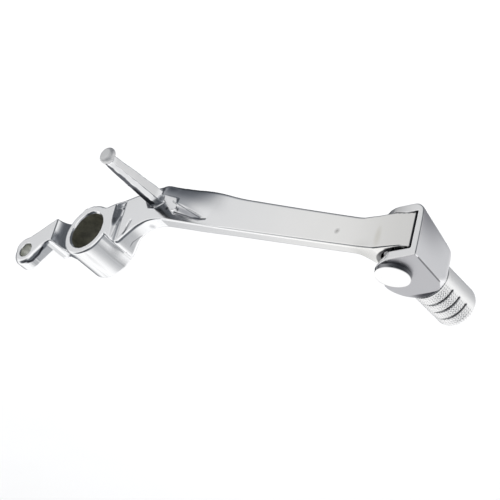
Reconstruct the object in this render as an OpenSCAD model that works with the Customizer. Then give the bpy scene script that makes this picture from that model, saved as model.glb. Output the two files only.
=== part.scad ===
// Rear brake pedal with a folding, sprung toe piece.
// Frame: X forward to the toe, Y inboard, Z up; the origin is on the pivot axis at the inboard rim.

/* [Pivot tube] */
// Bore of the pivot tube
bore_d = 17; // [10:0.5:20]
// Wall of the pivot tube
tube_wall = 3.8; // [2:0.1:7]
// Length of the pivot tube along its axis
tube_l = 20; // [15:0.5:40]
// Chamfer at both mouths of the bore
bore_chamfer = 0.8; // [0.2:0.1:1.5]
// Edge rounding of the tube ends
tube_edge = 0.8; // [0.2:0.1:1.5]

/* [Rear arm] */
// Distance of the rod eye behind the pivot
eye_back = 35.9; // [32:0.5:60]
// Height of the rod eye above the pivot
eye_rise = 3.6; // [0:0.2:8]
// Hole for the clevis pin
eye_hole_d = 6.5; // [4:0.1:8]
// Outside diameter of the rod eye
eye_d = 13.8; // [12:0.2:20]
// Thickness of the rod eye
eye_t = 6.3; // [4:0.1:7]
// Depth of the rear web's outboard face below the inboard face
web_depth = 14; // [11:0.5:18]
// Radius of the scoop between the eye and the tube
scoop_r = 7.8; // [4:0.1:9]

/* [Blade] */
// Distance from the pivot to the hinge pin
reach = 161.7; // [140:0.1:200]
// Height of the middle of the tongue above the pivot
rise = 33.5; // [20:0.5:50]
// Width of the blade beside the finger
blade_w_root = 17.4; // [14:0.2:24]
// Width of the blade at the knuckle
blade_w_tip = 13.4; // [10:0.2:15]
// Thickness of the blade
blade_t = 5.9; // [4:0.1:8]
// Thickness of the neck where it meets the tube
neck_t = 15; // [10:0.5:18]
// Rounding of the blade's long edges
blade_edge = 1.1; // [0.4:0.1:2]
// Radius of the groove between the tube and the neck
groove_r = 2.7; // [2:0.1:4]

/* [Finger] */
// Distance of the finger ahead of the pivot
finger_x = 38; // [34:0.5:44]
// Height of the finger from the blade face to the end of its knob
finger_l = 33.6; // [20:0.2:45]
// Diameter of the knob
knob_d = 7.2; // [6:0.1:10]
// Thickness of the knob
knob_t = 3.4; // [1:0.1:5]
// Length of the rib that braces the finger along the blade
rib_l = 28; // [15:1:40]
// Height of the rib against the finger
rib_h = 3.2; // [2:0.1:6]

/* [Knuckle] */
// Height of the tongue between the ears of the fork
tongue_h = 16.2; // [12:0.2:18]
// Length of the tongue ahead of the hinge pin
tongue_l = 11.2; // [9.8:0.1:14]
// Radius of the knuckle about the hinge pin
knuckle_r = 9.2; // [8:0.1:10]
// Depth of the hinge pin below the inboard face
pin_depth = 8.6; // [8:0.1:9.5]
// Thickness of the lip that covers the lower ear's end
tail_t = 1.3; // [0.8:0.1:1.8]
// Length of the shoulder behind the hinge pin
shoulder_l = 11.2; // [10:0.1:14]

/* [Toe block] */
// Thickness of the upper ear
ear_t = 3.5; // [2.5:0.1:6]
// Thickness of the lower ear
ear_low_t = 2.3; // [2:0.1:5]
// Radius of the ears about the hinge pin
ear_r = 7.5; // [7:0.1:8.4]
// Thickness of the wall at the tip
tip_wall = 2.9; // [2:0.1:6]
// Radius of the rear corner at the block's outboard end
block_r = 10.4; // [9:0.2:12]
// Radius of the front corner at the block's outboard end
corner_r = 7; // [2:0.2:8]
// Radius of the block about the peg's axis
boss_r = 13.3; // [12:0.1:16]
// Thickness of the block beyond the fork
block_solid = 7.7; // [5:0.1:12]
// How far the tip face leans back towards its outboard end
tip_taper = 2.2; // [0:0.1:3]
// Rounding of the lower edge of the tip
tip_round = 4.6; // [1:0.1:8]
// Rounding of the block's upper edges
block_edge = 1.4; // [0.4:0.1:2]
// Rounding of the block's lower edges
block_edge_low = 0.8; // [0.4:0.1:2]

/* [Toe peg] */
// Diameter of the knurled peg
peg_d = 16.8; // [14:0.2:20]
// Length of the knurled peg
peg_l = 21.8; // [20:0.2:40]
// Spacing of the grooves around the peg
peg_groove_pitch = 4.8; // [3:0.1:6]
// Depth of the grooves
peg_groove_depth = 0.8; // [0.3:0.1:1.2]
// Width of the grooves
peg_groove_w = 0.9; // [0.5:0.1:1.5]
// Distance from the peg's free end to the middle of the last groove
peg_groove_end = 6.2; // [4:0.1:8]
// Angle above level at which the treaded upper side of the peg ends
peg_tread_angle = 22; // [5:1:40]
// Rounding of the peg's free end
peg_edge = 2.9; // [1:0.1:3]
// Diameter of the peg's spigot in the block
spigot_d = 10; // [8:0.2:12]
// Length of the peg's spigot
spigot_l = 3; // [2:0.2:4]
// Diameter of the peg screw
screw_d = 6; // [4:0.5:6]
// Diameter of the screw head
screw_head_d = 10; // [9:0.5:10]
// Height of the screw head
screw_head_h = 5; // [3:0.5:6]
// Depth of the screw head below the peg's end
screw_sink = 0.6; // [0.2:0.1:1.5]
// Width across flats of the socket in the screw head
socket_w = 5; // [3:0.5:5]

/* [Hinge pin and spring] */
// Diameter of the hinge pin
pin_d = 6; // [5:0.5:7]
// Diameter of the pin's mushroom head
head_d = 13.5; // [10:0.1:15]
// Height of the mushroom head
head_h = 2.6; // [1.5:0.1:4]
// Thickness of the pin washer
washer_t = 1; // [0.6:0.1:1.6]
// Diameter of the pin washer
washer_d = 12; // [10:0.5:14]
// Thickness of the retaining clip
clip_t = 0.8; // [0.6:0.1:1.2]
// Diameter over the retaining clip
clip_d = 11; // [9:0.5:12]
// Wire of the torsion spring
wire_d = 1.4; // [1:0.1:1.6]
// Number of coils of the torsion spring
coils = 5; // [3:1:6]

/* [Fits] */
// Running clearance around the hinge pin
run_gap = 0.05; // [0.02:0.01:0.1]
// Clearance between the ears and the tongue
side_gap = 0.3; // [0.2:0.05:0.5]
// Clearance between the tongue's end and the tip wall
stop_gap = 0.3; // [0.2:0.05:0.5]

/* [Hidden] */
$fn = 72;
eps = 0.01;
tube_r = bore_d / 2 + tube_wall;
pin = [reach, -pin_depth];
tongue_z0 = rise - tongue_h / 2;
tongue_z1 = rise + tongue_h / 2;
knuckle_top = tongue_z1 - 3;
slot_z0 = tongue_z0 - side_gap;
slot_z1 = tongue_z1 + side_gap;
block_z0 = slot_z0 - ear_low_t;
block_z1 = slot_z1 + ear_t;
tongue_end = reach + tongue_l;
slot_x1 = tongue_end + stop_gap;
block_x1 = slot_x1 + tip_wall;
slot_floor = -pin_depth - knuckle_r - 0.5;
block_y0 = slot_floor - block_solid;
block_mid = [reach - knuckle_r + 0.9 + block_r, block_y0 + block_r];
peg_axis = [block_x1 - 12.6, (block_z0 + block_z1) / 2 + 2.6];
collar_r = peg_d / 2;
spring_r = pin_d / 2 + wire_d / 2 + 0.7;
pocket_r = spring_r + wire_d / 2 + 0.5;
pocket_z0 = knuckle_top - wire_d * coils - 1.6;
washer_z = block_z0 - washer_t;
clip_z = washer_z - clip_t;
shoulder_x = reach - shoulder_l;

// Smooth curve through [x, value] pairs, read at one x.
function grade(c, i) = let(a = max(i - 1, 0), b = min(i + 1, len(c) - 1))
    (c[b].y - c[a].y) / (c[b].x - c[a].x);
function span(c, x, i = 0) = i >= len(c) - 2 || x <= c[i + 1].x ? i : span(c, x, i + 1);
function smooth(c, x) = let(
    i = span(c, x),
    h = c[i + 1].x - c[i].x,
    u = min(max((x - c[i].x) / h, 0), 1),
    m0 = grade(c, i) * h,
    m1 = grade(c, i + 1) * h)
    c[i].y * (2 * u * u * u - 3 * u * u + 1) + m0 * (u * u * u - 2 * u * u + u)
    + c[i + 1].y * (3 * u * u - 2 * u * u * u) + m1 * (u * u * u - u * u);
function linear(c, x) = let(
    i = span(c, x),
    u = min(max((x - c[i].x) / (c[i + 1].x - c[i].x), 0), 1))
    c[i].y + (c[i + 1].y - c[i].y) * u;

// Rounded rectangle from p0 to p1, as points in a plane.
function rounded(p0, p1, r) = let(
    q = min(r, (p1.x - p0.x) / 2 - eps, (p1.y - p0.y) / 2 - eps),
    mid = [[p1.x - q, p1.y - q], [p0.x + q, p1.y - q], [p0.x + q, p0.y + q], [p1.x - q, p0.y + q]])
    [for (k = [0:3], a = [0:22.5:90]) mid[k] + q * [cos(a + 90 * k), sin(a + 90 * k)]];

// Skin over rings of equally many points.
module skin(rings) {
    n = len(rings[0]);
    m = len(rings);
    sides = [for (i = [0:m - 2], j = [0:n - 1])
        [i * n + j, (i + 1) * n + j, (i + 1) * n + (j + 1) % n, i * n + (j + 1) % n]];
    caps = [[for (j = [0:n - 1]) j], [for (j = [n - 1:-1:0]) (m - 1) * n + j]];
    polyhedron([for (ring = rings) each ring], concat(sides, caps), convexity = 8);
}

// Bar along X whose four sides follow curves.
module bar_x(stations, y0, y1, z0, z1, r) {
    skin([for (x = stations) [for (p = rounded([y0(x), z0(x)], [y1(x), z1(x)], r)) [x, p.x, p.y]]]);
}

// Cylinder along Y from y0 up to y1.
module rod_y(d, y0, y1) {
    translate([0, y0, 0]) rotate([-90, 0, 0]) cylinder(d = d, h = y1 - y0);
}

module tube() {
    rotate([90, 0, 0]) rotate_extrude() polygon([
        [eps, 0], [tube_r - tube_edge, 0], [tube_r, tube_edge],
        [tube_r, tube_l - tube_edge], [tube_r - tube_edge, tube_l], [eps, tube_l]]);
}

module bore() {
    rotate([90, 0, 0]) rotate_extrude() polygon([
        [0, -1], [bore_d / 2 + bore_chamfer + 1, -1], [bore_d / 2, bore_chamfer],
        [bore_d / 2, tube_l - bore_chamfer], [bore_d / 2 + bore_chamfer + 1, tube_l + 1],
        [0, tube_l + 1]]);
}

// Side outline of the neck and blade: upper and lower edge over X.
horn_x = tube_r + 8.6;
neck_x = horn_x + 14;
waist_x = horn_x + 22.6;
upper = [
    [tube_r - 6, -2], [tube_r - 0.8, 4.3], [horn_x - 0.8, 10.6], [horn_x + 0.8, 10.4],
    [horn_x + 3.6, 8.2], [horn_x + 7, 5.6], [neck_x - 3.5, 4], [neck_x, 3],
    [neck_x + 4, 2.9], [waist_x, 3.6]];
lower = [
    [tube_r - 6, -9.6], [tube_r + 1, -11.3], [horn_x - 3, -11.6], [horn_x + 4, -12.8],
    [neck_x + 1, -14.2], [neck_x + 5, -14.1], [waist_x, 3.6 - blade_w_root]];
slope = (rise - 9.6 + blade_w_tip - 3.6) / (shoulder_x - 2 - waist_x);
blade_hi = [[waist_x, 3.6], [waist_x + 24, 3.6 + 24 * slope * 1.02],
    [shoulder_x - 2, tongue_z1 - 4.2], [shoulder_x + 6, tongue_z1 - 2.4]];
blade_lo = [[waist_x, 3.6 - blade_w_root], [waist_x + 18, 3.8 - blade_w_root + 18 * slope * 1.06],
    [waist_x + 42, 5 - blade_w_root + 42 * slope * 1.05],
    [shoulder_x - 2, tongue_z1 - 4.2 - blade_w_tip], [shoulder_x + 2, tongue_z0 - 0.8],
    [shoulder_x + 7, tongue_z0 - 0.2]];
back = [
    [tube_r - 6, neck_t + 0.5], [tube_r, neck_t], [horn_x, neck_t - 3], [horn_x + 7, blade_t + 1.6],
    [neck_x + 4, blade_t + 0.4], [waist_x + 10, blade_t]];

module neck() {
    xs = [for (k = [0:36]) tube_r - 6 + (waist_x - tube_r + 6) * k / 36];
    bar_x(xs, function(x) -smooth(back, x), function(x) 0,
        function(x) smooth(lower, x), function(x) smooth(upper, x), blade_edge);
}

module blade() {
    run = shoulder_x - waist_x;
    xs = [for (k = [0:22]) waist_x + run * k / 22];
    tail = [for (k = [0:4]) shoulder_x + 0.05 + 1.6 * k];
    bar_x(concat(xs, tail),
        function(x) x > shoulder_x ? -tail_t : -smooth(back, min(x, waist_x + 10)),
        function(x) 0,
        function(x) smooth(blade_lo, x), function(x) smooth(blade_hi, x), blade_edge);
}

// Groove between the tube and the neck, closed at its lower end.
module neck_groove() {
    translate([horn_x - groove_r - 0.6, 0, -9.6]) cylinder(r = groove_r, h = 30);
}

// Rear arm: side outline cut by a plan outline.
web_x = -tube_r - 12.6;
module rear_side() {
    eye = [-eye_back, eye_rise];
    translate(eye) circle(d = eye_d);
    polygon([
        [0, -tube_r + 0.4], [0, tube_r - 5], [-tube_r + 1, 6.4], [-tube_r - 3, 4.6],
        [web_x + 2.6, 1.4], [web_x + 0.8, 1.3], [web_x - 0.8, 2.3], [web_x - 3.6, 5],
        [-eye_back + eye_d * 0.42, eye_rise + eye_d * 0.27], [-eye_back - 3.1, eye_rise - eye_d / 2 + 0.9],
        [-tube_r - 10, -9.9], [-tube_r, -11.2]]);
}

module rear_plan() {
    difference() {
        union() {
            translate([-eye_back - eye_d / 2 - 1, -eye_t]) square([eye_back + eye_d / 2 - tube_r - 8, eye_t]);
            translate([web_x, -web_depth]) square([-web_x - 7, web_depth]);
        }
        translate([-tube_r - 1, 0]) circle(r = scoop_r);
    }
}

module rear_arm() {
    intersection() {
        rotate([90, 0, 0]) linear_extrude(web_depth) rear_side();
        translate([0, 0, -30]) linear_extrude(60) rear_plan();
    }
}

// Finger for the pedal's return spring, with its knob and bracing rib.
finger_z = -7.3;
module finger() {
    knob_y = finger_l - knob_t;
    hi = [[-3, 4.6], [0.5, 4.2], [3, 3.3], [finger_l * 0.5, 3], [knob_y + 0.5, 0.8]];
    lo = [[-3, 4.4], [0.5, 3.6], [3, 2.4], [knob_y + 0.5, 2.2]];
    up = [[-3, 4.6], [0.5, 4.3], [3, 3.1], [knob_y + 0.5, 2.9]];
    dn = [[-3, 4.2], [0.5, 3.4], [3, 2.9], [finger_l * 0.5, 2.2], [knob_y + 0.5, 1]];
    ys = concat([-3, -1, 0, 0.7, 1.4, 2.2, 3], [for (k = [1:10]) 3 + (knob_y - 2.5) * k / 10]);
    multmatrix([[1, 0, 0, finger_x], [0, 0, 1, 0], [0, 1, 0, finger_z], [0, 0, 0, 1]])
        finger_skin(ys, hi, lo, up, dn);
    translate([finger_x, 0, finger_z]) rotate([-90, 0, 0]) rotate_extrude()
        polygon([[0, knob_y], [knob_d / 2 - 0.9, knob_y], [knob_d / 2, knob_y + 0.9],
            [knob_d / 2, finger_l - 0.8], [knob_d / 2 - 0.8, finger_l], [0, finger_l]]);
}

module finger_skin(ys, hi, lo, up, dn) {
    skin([for (y = ys) [for (p = rounded([-linear(lo, y), -linear(dn, y)],
        [linear(hi, y), linear(up, y)], 1)) [p.x, p.y, y]]]);
}

module rib() {
    x0 = finger_x + 2;
    top = [[x0, rib_h], [x0 + 2.5, rib_h], [x0 + 8.5, rib_h * 0.62], [x0 + rib_l * 0.6, rib_h * 0.4],
        [x0 + rib_l, 0.05]];
    z_hi = [[x0, -2.4], [x0 + 5, -1.6], [x0 + 9, 0.7], [x0 + 17.5, 4.9], [x0 + rib_l, 8.6]];
    z_lo = [[x0, -9.4], [x0 + 5, -8], [x0 + 9, -4.6], [x0 + 17.5, 1.6], [x0 + rib_l, 6.8]];
    bar_x([for (k = [0:14]) x0 + rib_l * k / 14], function(x) -2.5, function(x) linear(top, x),
        function(x) linear(z_lo, x), function(x) linear(z_hi, x), 0.7);
}

// Knuckle and tongue at the toe end of the blade.
module knuckle() {
    translate([0, 0, tongue_z0]) linear_extrude(knuckle_top - tongue_z0) difference() {
        union() {
            translate(pin) circle(r = knuckle_r);
            polygon([[shoulder_x - 1, -1], [shoulder_x - 1, -blade_t], [shoulder_x + 0.6, -pin_depth + 0.6],
                [reach - knuckle_r * 0.62, -pin_depth - knuckle_r * 0.785],
                [reach + knuckle_r, -pin_depth], [reach + knuckle_r, -1]]);
        }
        translate([shoulder_x - 10, -0.6]) square([40, 10]);
    }
    rotate([90, 0, 0]) linear_extrude(blade_t) polygon([
        [shoulder_x - 1, tongue_z0 - 0.2], [shoulder_x + 5, tongue_z0], [reach + 2, tongue_z0],
        [reach + 6.2, tongue_z0 + 0.6], [tongue_end, tongue_z0 + 1.4], [tongue_end, tongue_z1],
        [reach + 7, tongue_z1 - 1.4], [reach + 3, tongue_z1 - 1.6], [shoulder_x + 5, tongue_z1 - 2.5],
        [shoulder_x - 1, tongue_z1 - 4]]);
}

module lever() {
    color("silver") difference() {
        union() {
            tube();
            difference() {
                union() {
                    neck();
                    blade();
                }
                neck_groove();
            }
            rear_arm();
            finger();
            rib();
            knuckle();
        }
        bore();
        translate([-eye_back, 0, eye_rise]) rod_y(eye_hole_d, -web_depth, 5);
        translate([pin.x, pin.y, tongue_z0 - 5]) cylinder(r = pin_d / 2 + run_gap, h = tongue_h + 10);
        translate([pin.x, pin.y, pocket_z0]) cylinder(r = pocket_r, h = tongue_h);
        translate([pin.x, pin.y - spring_r, pocket_z0 - 3]) cylinder(d = wire_d + 0.2, h = 5);
    }
}

// Plan outline of the toe block; the inboard side runs past the flat face.
function arc(c, r, a0, a1) = [for (k = [0:8]) let(a = a0 + (a1 - a0) * k / 8) c + r * [cos(a), sin(a)]];
module block_plan() {
    corner = [block_x1 - tip_taper - corner_r, block_y0 + corner_r];
    polygon(concat(arc(pin, ear_r, 120, 176), arc(block_mid, block_r, 176, 270),
        arc(corner, corner_r, 270, 354), [[block_x1, 0], [block_x1, 6], [reach + 9, 6]]));
}

// Disc along Y, given by its centre, radius and the place of its inboard face.
module disc_y(c, r, y) {
    translate([c.x, y, c.y]) rotate([90, 0, 0]) cylinder(r = r, h = eps, $fn = 64);
}

module block_outer() {
    foot = block_z0 + tip_round;
    intersection() {
        hull() for (a = [0:30:90]) {
            translate([0, 0, block_z1 - block_edge * (1 - sin(a)) - eps])
                linear_extrude(eps) offset(r = -block_edge * (1 - cos(a))) block_plan();
            translate([0, 0, block_z0 + block_edge_low * (1 - sin(a))])
                linear_extrude(eps) offset(r = -block_edge_low * (1 - cos(a))) block_plan();
        }
        hull() {
            translate([reach - 20, -2, block_z0 - 0.3]) cube([20, 2 - side_gap, 34]);
            translate([reach, -2, foot]) cube([block_x1 - reach + 0.3, 2 - side_gap, 30]);
            translate([block_x1 - tip_round, -side_gap, foot]) rotate([90, 0, 0])
                cylinder(r = tip_round + 0.3, h = 1, $fn = 48);
            translate([reach - 20, slot_floor, block_z0 - 0.3]) cube([20, 3, 34]);
            disc_y(peg_axis, boss_r, block_y0 + 5);
            disc_y(peg_axis, boss_r - 1, block_y0 + 2.4);
            disc_y(peg_axis, collar_r + 1.2, block_y0 - 0.5);
        }
    }
}

module toe_block() {
    color("gainsboro") difference() {
        union() {
            block_outer();
            translate([peg_axis.x, 0, peg_axis.y]) rod_y(2 * collar_r - 0.6, block_y0 - 0.4, block_y0 + 3);
        }
        translate([reach - 40, slot_floor, slot_z0]) cube([slot_x1 - reach + 40, 60, slot_z1 - slot_z0]);
        translate([pin.x, pin.y, block_z0 - 5]) cylinder(r = pin_d / 2 + run_gap, h = 60);
        translate([pin.x, pin.y + spring_r, slot_z1 - 1]) cylinder(d = wire_d + 0.2, h = 3);
        translate([peg_axis.x, 0, peg_axis.y]) {
            rod_y(spigot_d, block_y0 - 5, block_y0 - 0.4 + spigot_l);
            rod_y(screw_d, block_y0 - 5, slot_floor + 1);
        }
    }
}

// Knurled peg, turned about its own axis; the seat is at the block's end face.
peg_y1 = block_y0 - 0.4;
peg_y0 = peg_y1 - peg_l;
module toe_peg() {
    g = peg_groove_depth;
    w = peg_groove_w / 2;
    r = peg_d / 2;
    seat = peg_l - screw_head_h - screw_sink;
    color("silver") translate([peg_axis.x, peg_y1, peg_axis.y]) difference() {
        rotate([90, 0, 0]) rotate_extrude() polygon(concat(
            [[screw_d / 2 + run_gap, -spigot_l], [spigot_d / 2 - 0.02, -spigot_l], [spigot_d / 2 - 0.02, 0],
                [r - 0.5, 0], [r, 0.5]],
            [for (a = [0:15:90]) [r - peg_edge * (1 - cos(a)), peg_l - peg_edge * (1 - sin(a))]],
            [[screw_head_d / 2 + 0.3, peg_l], [screw_head_d / 2 + 0.3, seat], [screw_d / 2 + run_gap, seat]]));
        for (k = [0:2]) intersection() {
            translate([0, -peg_l + peg_groove_end + peg_groove_pitch * k, 0]) rotate([90, 0, 0]) rotate_extrude()
                polygon([[r + 1, -w], [r + 1, w], [r, w], [r - g, w * 0.4], [r - g, -w * 0.4], [r, -w]]);
            translate([-r - 2, -peg_l - 1, r * sin(peg_tread_angle)]) cube([2 * r + 4, peg_l + 2, 2 * r]);
        }
    }
}

// Socket screw that holds the peg from its free end.
module peg_screw() {
    seat = peg_y0 + screw_head_h + screw_sink;
    color("gray") translate([peg_axis.x, 0, peg_axis.y]) difference() {
        union() {
            rod_y(screw_d, seat - 1, slot_floor - 0.8);
            rod_y(screw_head_d, seat - screw_head_h, seat);
        }
        translate([0, seat - screw_head_h - 1, 0]) rotate([-90, 0, 0])
            cylinder(d = socket_w / cos(30), h = screw_head_h * 0.5 + 1, $fn = 6);
    }
}

// Hinge pin: low domed head on the upper ear, groove for the clip below the lower ear.
dome_r = (head_d * head_d / 4 + pow(head_h * 0.55, 2)) / (2 * head_h * 0.55);
module hinge_pin() {
    r = pin_d / 2;
    rim = head_h * 0.45;
    color("white") translate([pin.x, pin.y, 0]) rotate_extrude() polygon(concat(
        [[0, clip_z - 1.4], [r - 0.4, clip_z - 1.4], [r, clip_z - 1], [r, clip_z], [r - 0.7, clip_z],
            [r - 0.7, clip_z + clip_t], [r, clip_z + clip_t], [r, block_z1], [head_d / 2 - 0.3, block_z1],
            [head_d / 2, block_z1 + 0.3], [head_d / 2, block_z1 + rim]],
        [for (t = [0.9, 0.75, 0.55, 0.3]) [t * head_d / 2,
            block_z1 + head_h - dome_r + sqrt(dome_r * dome_r - pow(t * head_d / 2, 2))]],
        [[0, block_z1 + head_h]]));
}

module pin_washer() {
    color("gray") translate([pin.x, pin.y, washer_z]) difference() {
        cylinder(d = washer_d, h = washer_t);
        translate([0, 0, -1]) cylinder(r = pin_d / 2 + 0.1, h = washer_t + 2);
    }
}

module pin_clip() {
    color("dimgray") translate([pin.x, pin.y, clip_z]) difference() {
        cylinder(d = clip_d, h = clip_t);
        translate([0, 0, -1]) cylinder(r = pin_d / 2 - 0.68, h = clip_t + 2);
        rotate(20) translate([0, -pin_d * 0.31, -1]) cube([clip_d, pin_d * 0.62, clip_t + 2]);
        for (a = [140, 260]) rotate(a) translate([pin_d / 2 + 0.6, 0, -1]) cylinder(r = 0.8, h = clip_t + 2);
    }
}

// Torsion spring around the pin; its tangs enter the knuckle and the upper ear.
module return_spring() {
    z0 = pocket_z0 + wire_d / 2 + 0.15;
    z1 = knuckle_top - wire_d / 2 + 0.4;
    turn = 360 * coils - 180;
    n = 24 * coils - 12;
    helix = [for (k = [0:n]) let(a = -90 - turn * k / n)
        [spring_r * cos(a), spring_r * sin(a), z0 + (z1 - z0) * k / n]];
    first = [helix[0].x, helix[0].y, 0];
    last = [helix[n].x, helix[n].y, 0];
    path = concat([first + [0, 0, pocket_z0 - 2.4], first + [0, 0, z0 - wire_d * 0.8]], helix,
        [last + [0, 0, z1 + wire_d * 0.8], last + [0, 0, slot_z1 + 1.6]]);
    m = len(path);
    side = [for (k = [0:m - 1]) let(p = path[k]) [p.x, p.y, 0] / norm([p.x, p.y])];
    ahead = [for (k = [0:m - 1]) let(d = path[min(k + 1, m - 1)] - path[max(k - 1, 0)]) d / norm(d)];
    color("dimgray") translate([pin.x, pin.y, 0])
        skin([for (k = [0:m - 1]) let(w = cross(ahead[k], side[k]))
            [for (j = [0:7]) path[k] + wire_d / 2 * (cos(45 * j) * side[k] + sin(45 * j) * w)]]);
}

lever();
toe_block();
toe_peg();
peg_screw();
hinge_pin();
pin_washer();
pin_clip();
return_spring();
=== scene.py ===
import math

import bmesh
import bpy
import numpy as np
from mathutils import Matrix, Vector


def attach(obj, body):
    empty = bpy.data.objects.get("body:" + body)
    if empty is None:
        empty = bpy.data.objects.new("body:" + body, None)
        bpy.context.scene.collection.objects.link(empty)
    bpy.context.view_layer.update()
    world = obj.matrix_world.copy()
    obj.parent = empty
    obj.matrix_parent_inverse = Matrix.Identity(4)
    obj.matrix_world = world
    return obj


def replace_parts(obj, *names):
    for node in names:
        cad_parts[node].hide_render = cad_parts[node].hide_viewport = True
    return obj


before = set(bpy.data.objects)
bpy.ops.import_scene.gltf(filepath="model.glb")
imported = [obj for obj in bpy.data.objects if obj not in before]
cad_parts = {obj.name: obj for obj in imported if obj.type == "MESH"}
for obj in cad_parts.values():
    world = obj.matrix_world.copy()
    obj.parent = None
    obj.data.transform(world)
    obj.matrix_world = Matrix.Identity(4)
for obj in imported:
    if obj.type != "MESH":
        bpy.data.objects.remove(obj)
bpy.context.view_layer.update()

# Sizes in millimetres in the pedal's frame: X to the toe, Y inboard, Z up on the machine.
MM = 0.001
BORE_R, TUBE_R, TUBE_L = 8.5, 12.3, 20
EYE_X, EYE_Z, EYE_R = -35.9, 3.6, 3.25
FINGER_X, FINGER_Z = 38, -7.3
KNOB_R, KNOB_Y = 3.6, 31.9
PIN_X, PIN_Y, PIN_HOLE_R = 161.7, -8.6, 3.1
PEG_X, PEG_Z = 163.5, 36.7
PEG_Y, PEG_L, PEG_R = -26.4, 21.8, 8.4
TREAD_Y, TREAD_PITCH, TREADS = 6.7, 4.8, 3
BLOCK_LO, BLOCK_HI = 22.8, 45.4
SLOT_LO, SLOT_HI, SLOT_END = 25.1, 41.9, 173.2
LEVER_GRID, BLOCK_GRID = 0.4, 0.32


# Curves and plane outlines
def curve(points):
    """Smooth curve through points of growing x, read by interpolation."""
    p = np.array(points, float)
    n = len(p)
    after, before = np.minimum(np.arange(n) + 1, n - 1), np.maximum(np.arange(n) - 1, 0)
    m = (p[after, 1] - p[before, 1]) / (p[after, 0] - p[before, 0])
    xs = np.linspace(p[0, 0], p[-1, 0], 1500)
    i = np.clip(np.searchsorted(p[:, 0], xs, side="right") - 1, 0, n - 2)
    h = p[i + 1, 0] - p[i, 0]
    u = np.clip((xs - p[i, 0]) / h, 0, 1)
    ys = (p[i, 1] * (2 * u**3 - 3 * u**2 + 1) + m[i] * h * (u**3 - 2 * u**2 + u)
          + p[i + 1, 1] * (3 * u**2 - 2 * u**3) + m[i + 1] * h * (u**3 - u**2))
    return lambda x: np.interp(x, xs, ys)


def steps(*pairs):
    """Straight lines through pairs, read by interpolation."""
    return lambda v: np.interp(v, [a for a, _ in pairs], [b for _, b in pairs])


def fade(v, a, b):
    """Soft step from 0 at a to 1 at b."""
    t = np.clip((v - a) / (b - a), 0, 1)
    return t * t * (3 - 2 * t)


def arc(cx, cy, r, angles):
    return [(cx + r * math.cos(a), cy + r * math.sin(a)) for a in np.radians(angles)]


def outline(points, margin=8.0, step=0.25):
    """Signed distance to a closed outline, kept on a grid and read by interpolation."""
    p = np.array(points, float)
    lo = p.min(0) - margin
    n = np.ceil((p.max(0) + margin - lo) / step).astype(int) + 1
    gx, gy = np.meshgrid(lo[0] + step * np.arange(n[0]), lo[1] + step * np.arange(n[1]), indexing="ij")
    best = np.full(gx.shape, 1e9)
    inside = np.zeros(gx.shape, bool)
    for a, b in zip(p, np.roll(p, -1, 0)):
        d = b - a
        if d @ d < 1e-12:
            continue
        t = np.clip(((gx - a[0]) * d[0] + (gy - a[1]) * d[1]) / (d @ d), 0, 1)
        np.minimum(best, (gx - a[0] - t * d[0]) ** 2 + (gy - a[1] - t * d[1]) ** 2, out=best)
        if a[1] != b[1]:
            inside ^= ((gy >= min(a[1], b[1])) & (gy < max(a[1], b[1]))
                       & (gx < a[0] + (gy - a[1]) * d[0] / d[1]))
    grid = np.sqrt(best) * np.where(inside, -1, 1)

    def read(u, v):
        fu = np.clip((u - lo[0]) / step, 0, n[0] - 1.001)
        fv = np.clip((v - lo[1]) / step, 0, n[1] - 1.001)
        i, j = fu.astype(int), fv.astype(int)
        a, b = fu - i, fv - j
        near = (grid[i, j] * (1 - a) * (1 - b) + grid[i + 1, j] * a * (1 - b)
                + grid[i, j + 1] * (1 - a) * b + grid[i + 1, j + 1] * a * b)
        return near + np.hypot(u - (lo[0] + step * fu), v - (lo[1] + step * fv))
    return read


# Ways to join and shape distances
def union(a, b, k):
    h = np.maximum(k - np.abs(a - b), 0) / k
    return np.minimum(a, b) - h * h * k / 4


def meet(a, b, k):
    return -union(-a, -b, k)


def cut(a, b, k):
    return meet(a, -b, k)


def crossed(a, b, r):
    """Part of a inside b, with its edges rounded by r."""
    u, v = a + r, b + r
    return np.hypot(np.maximum(u, 0), np.maximum(v, 0)) + np.minimum(np.maximum(u, v), 0) - r


def prism(d, w, half, r):
    """Outline distance d pulled along w to half on each side, edges rounded by r."""
    return crossed(d, np.abs(w) - half, r)


def box(p, lo, hi, r):
    q = [np.abs(p[i] - (lo[i] + hi[i]) / 2) - (hi[i] - lo[i]) / 2 + r for i in range(3)]
    out = np.sqrt(sum(np.maximum(c, 0) ** 2 for c in q))
    return out + np.minimum(np.maximum(np.maximum(q[0], q[1]), q[2]), 0) - r


def to_line(u, v, start, run):
    """Distance to the line from start along run, and the share of run at its nearest point."""
    du, dv = u - start[0], v - start[1]
    t = np.clip((du * run[0] + dv * run[1]) / (run[0] * run[0] + run[1] * run[1]), 0, 1)
    return np.hypot(du - run[0] * t, dv - run[1] * t), t


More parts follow.
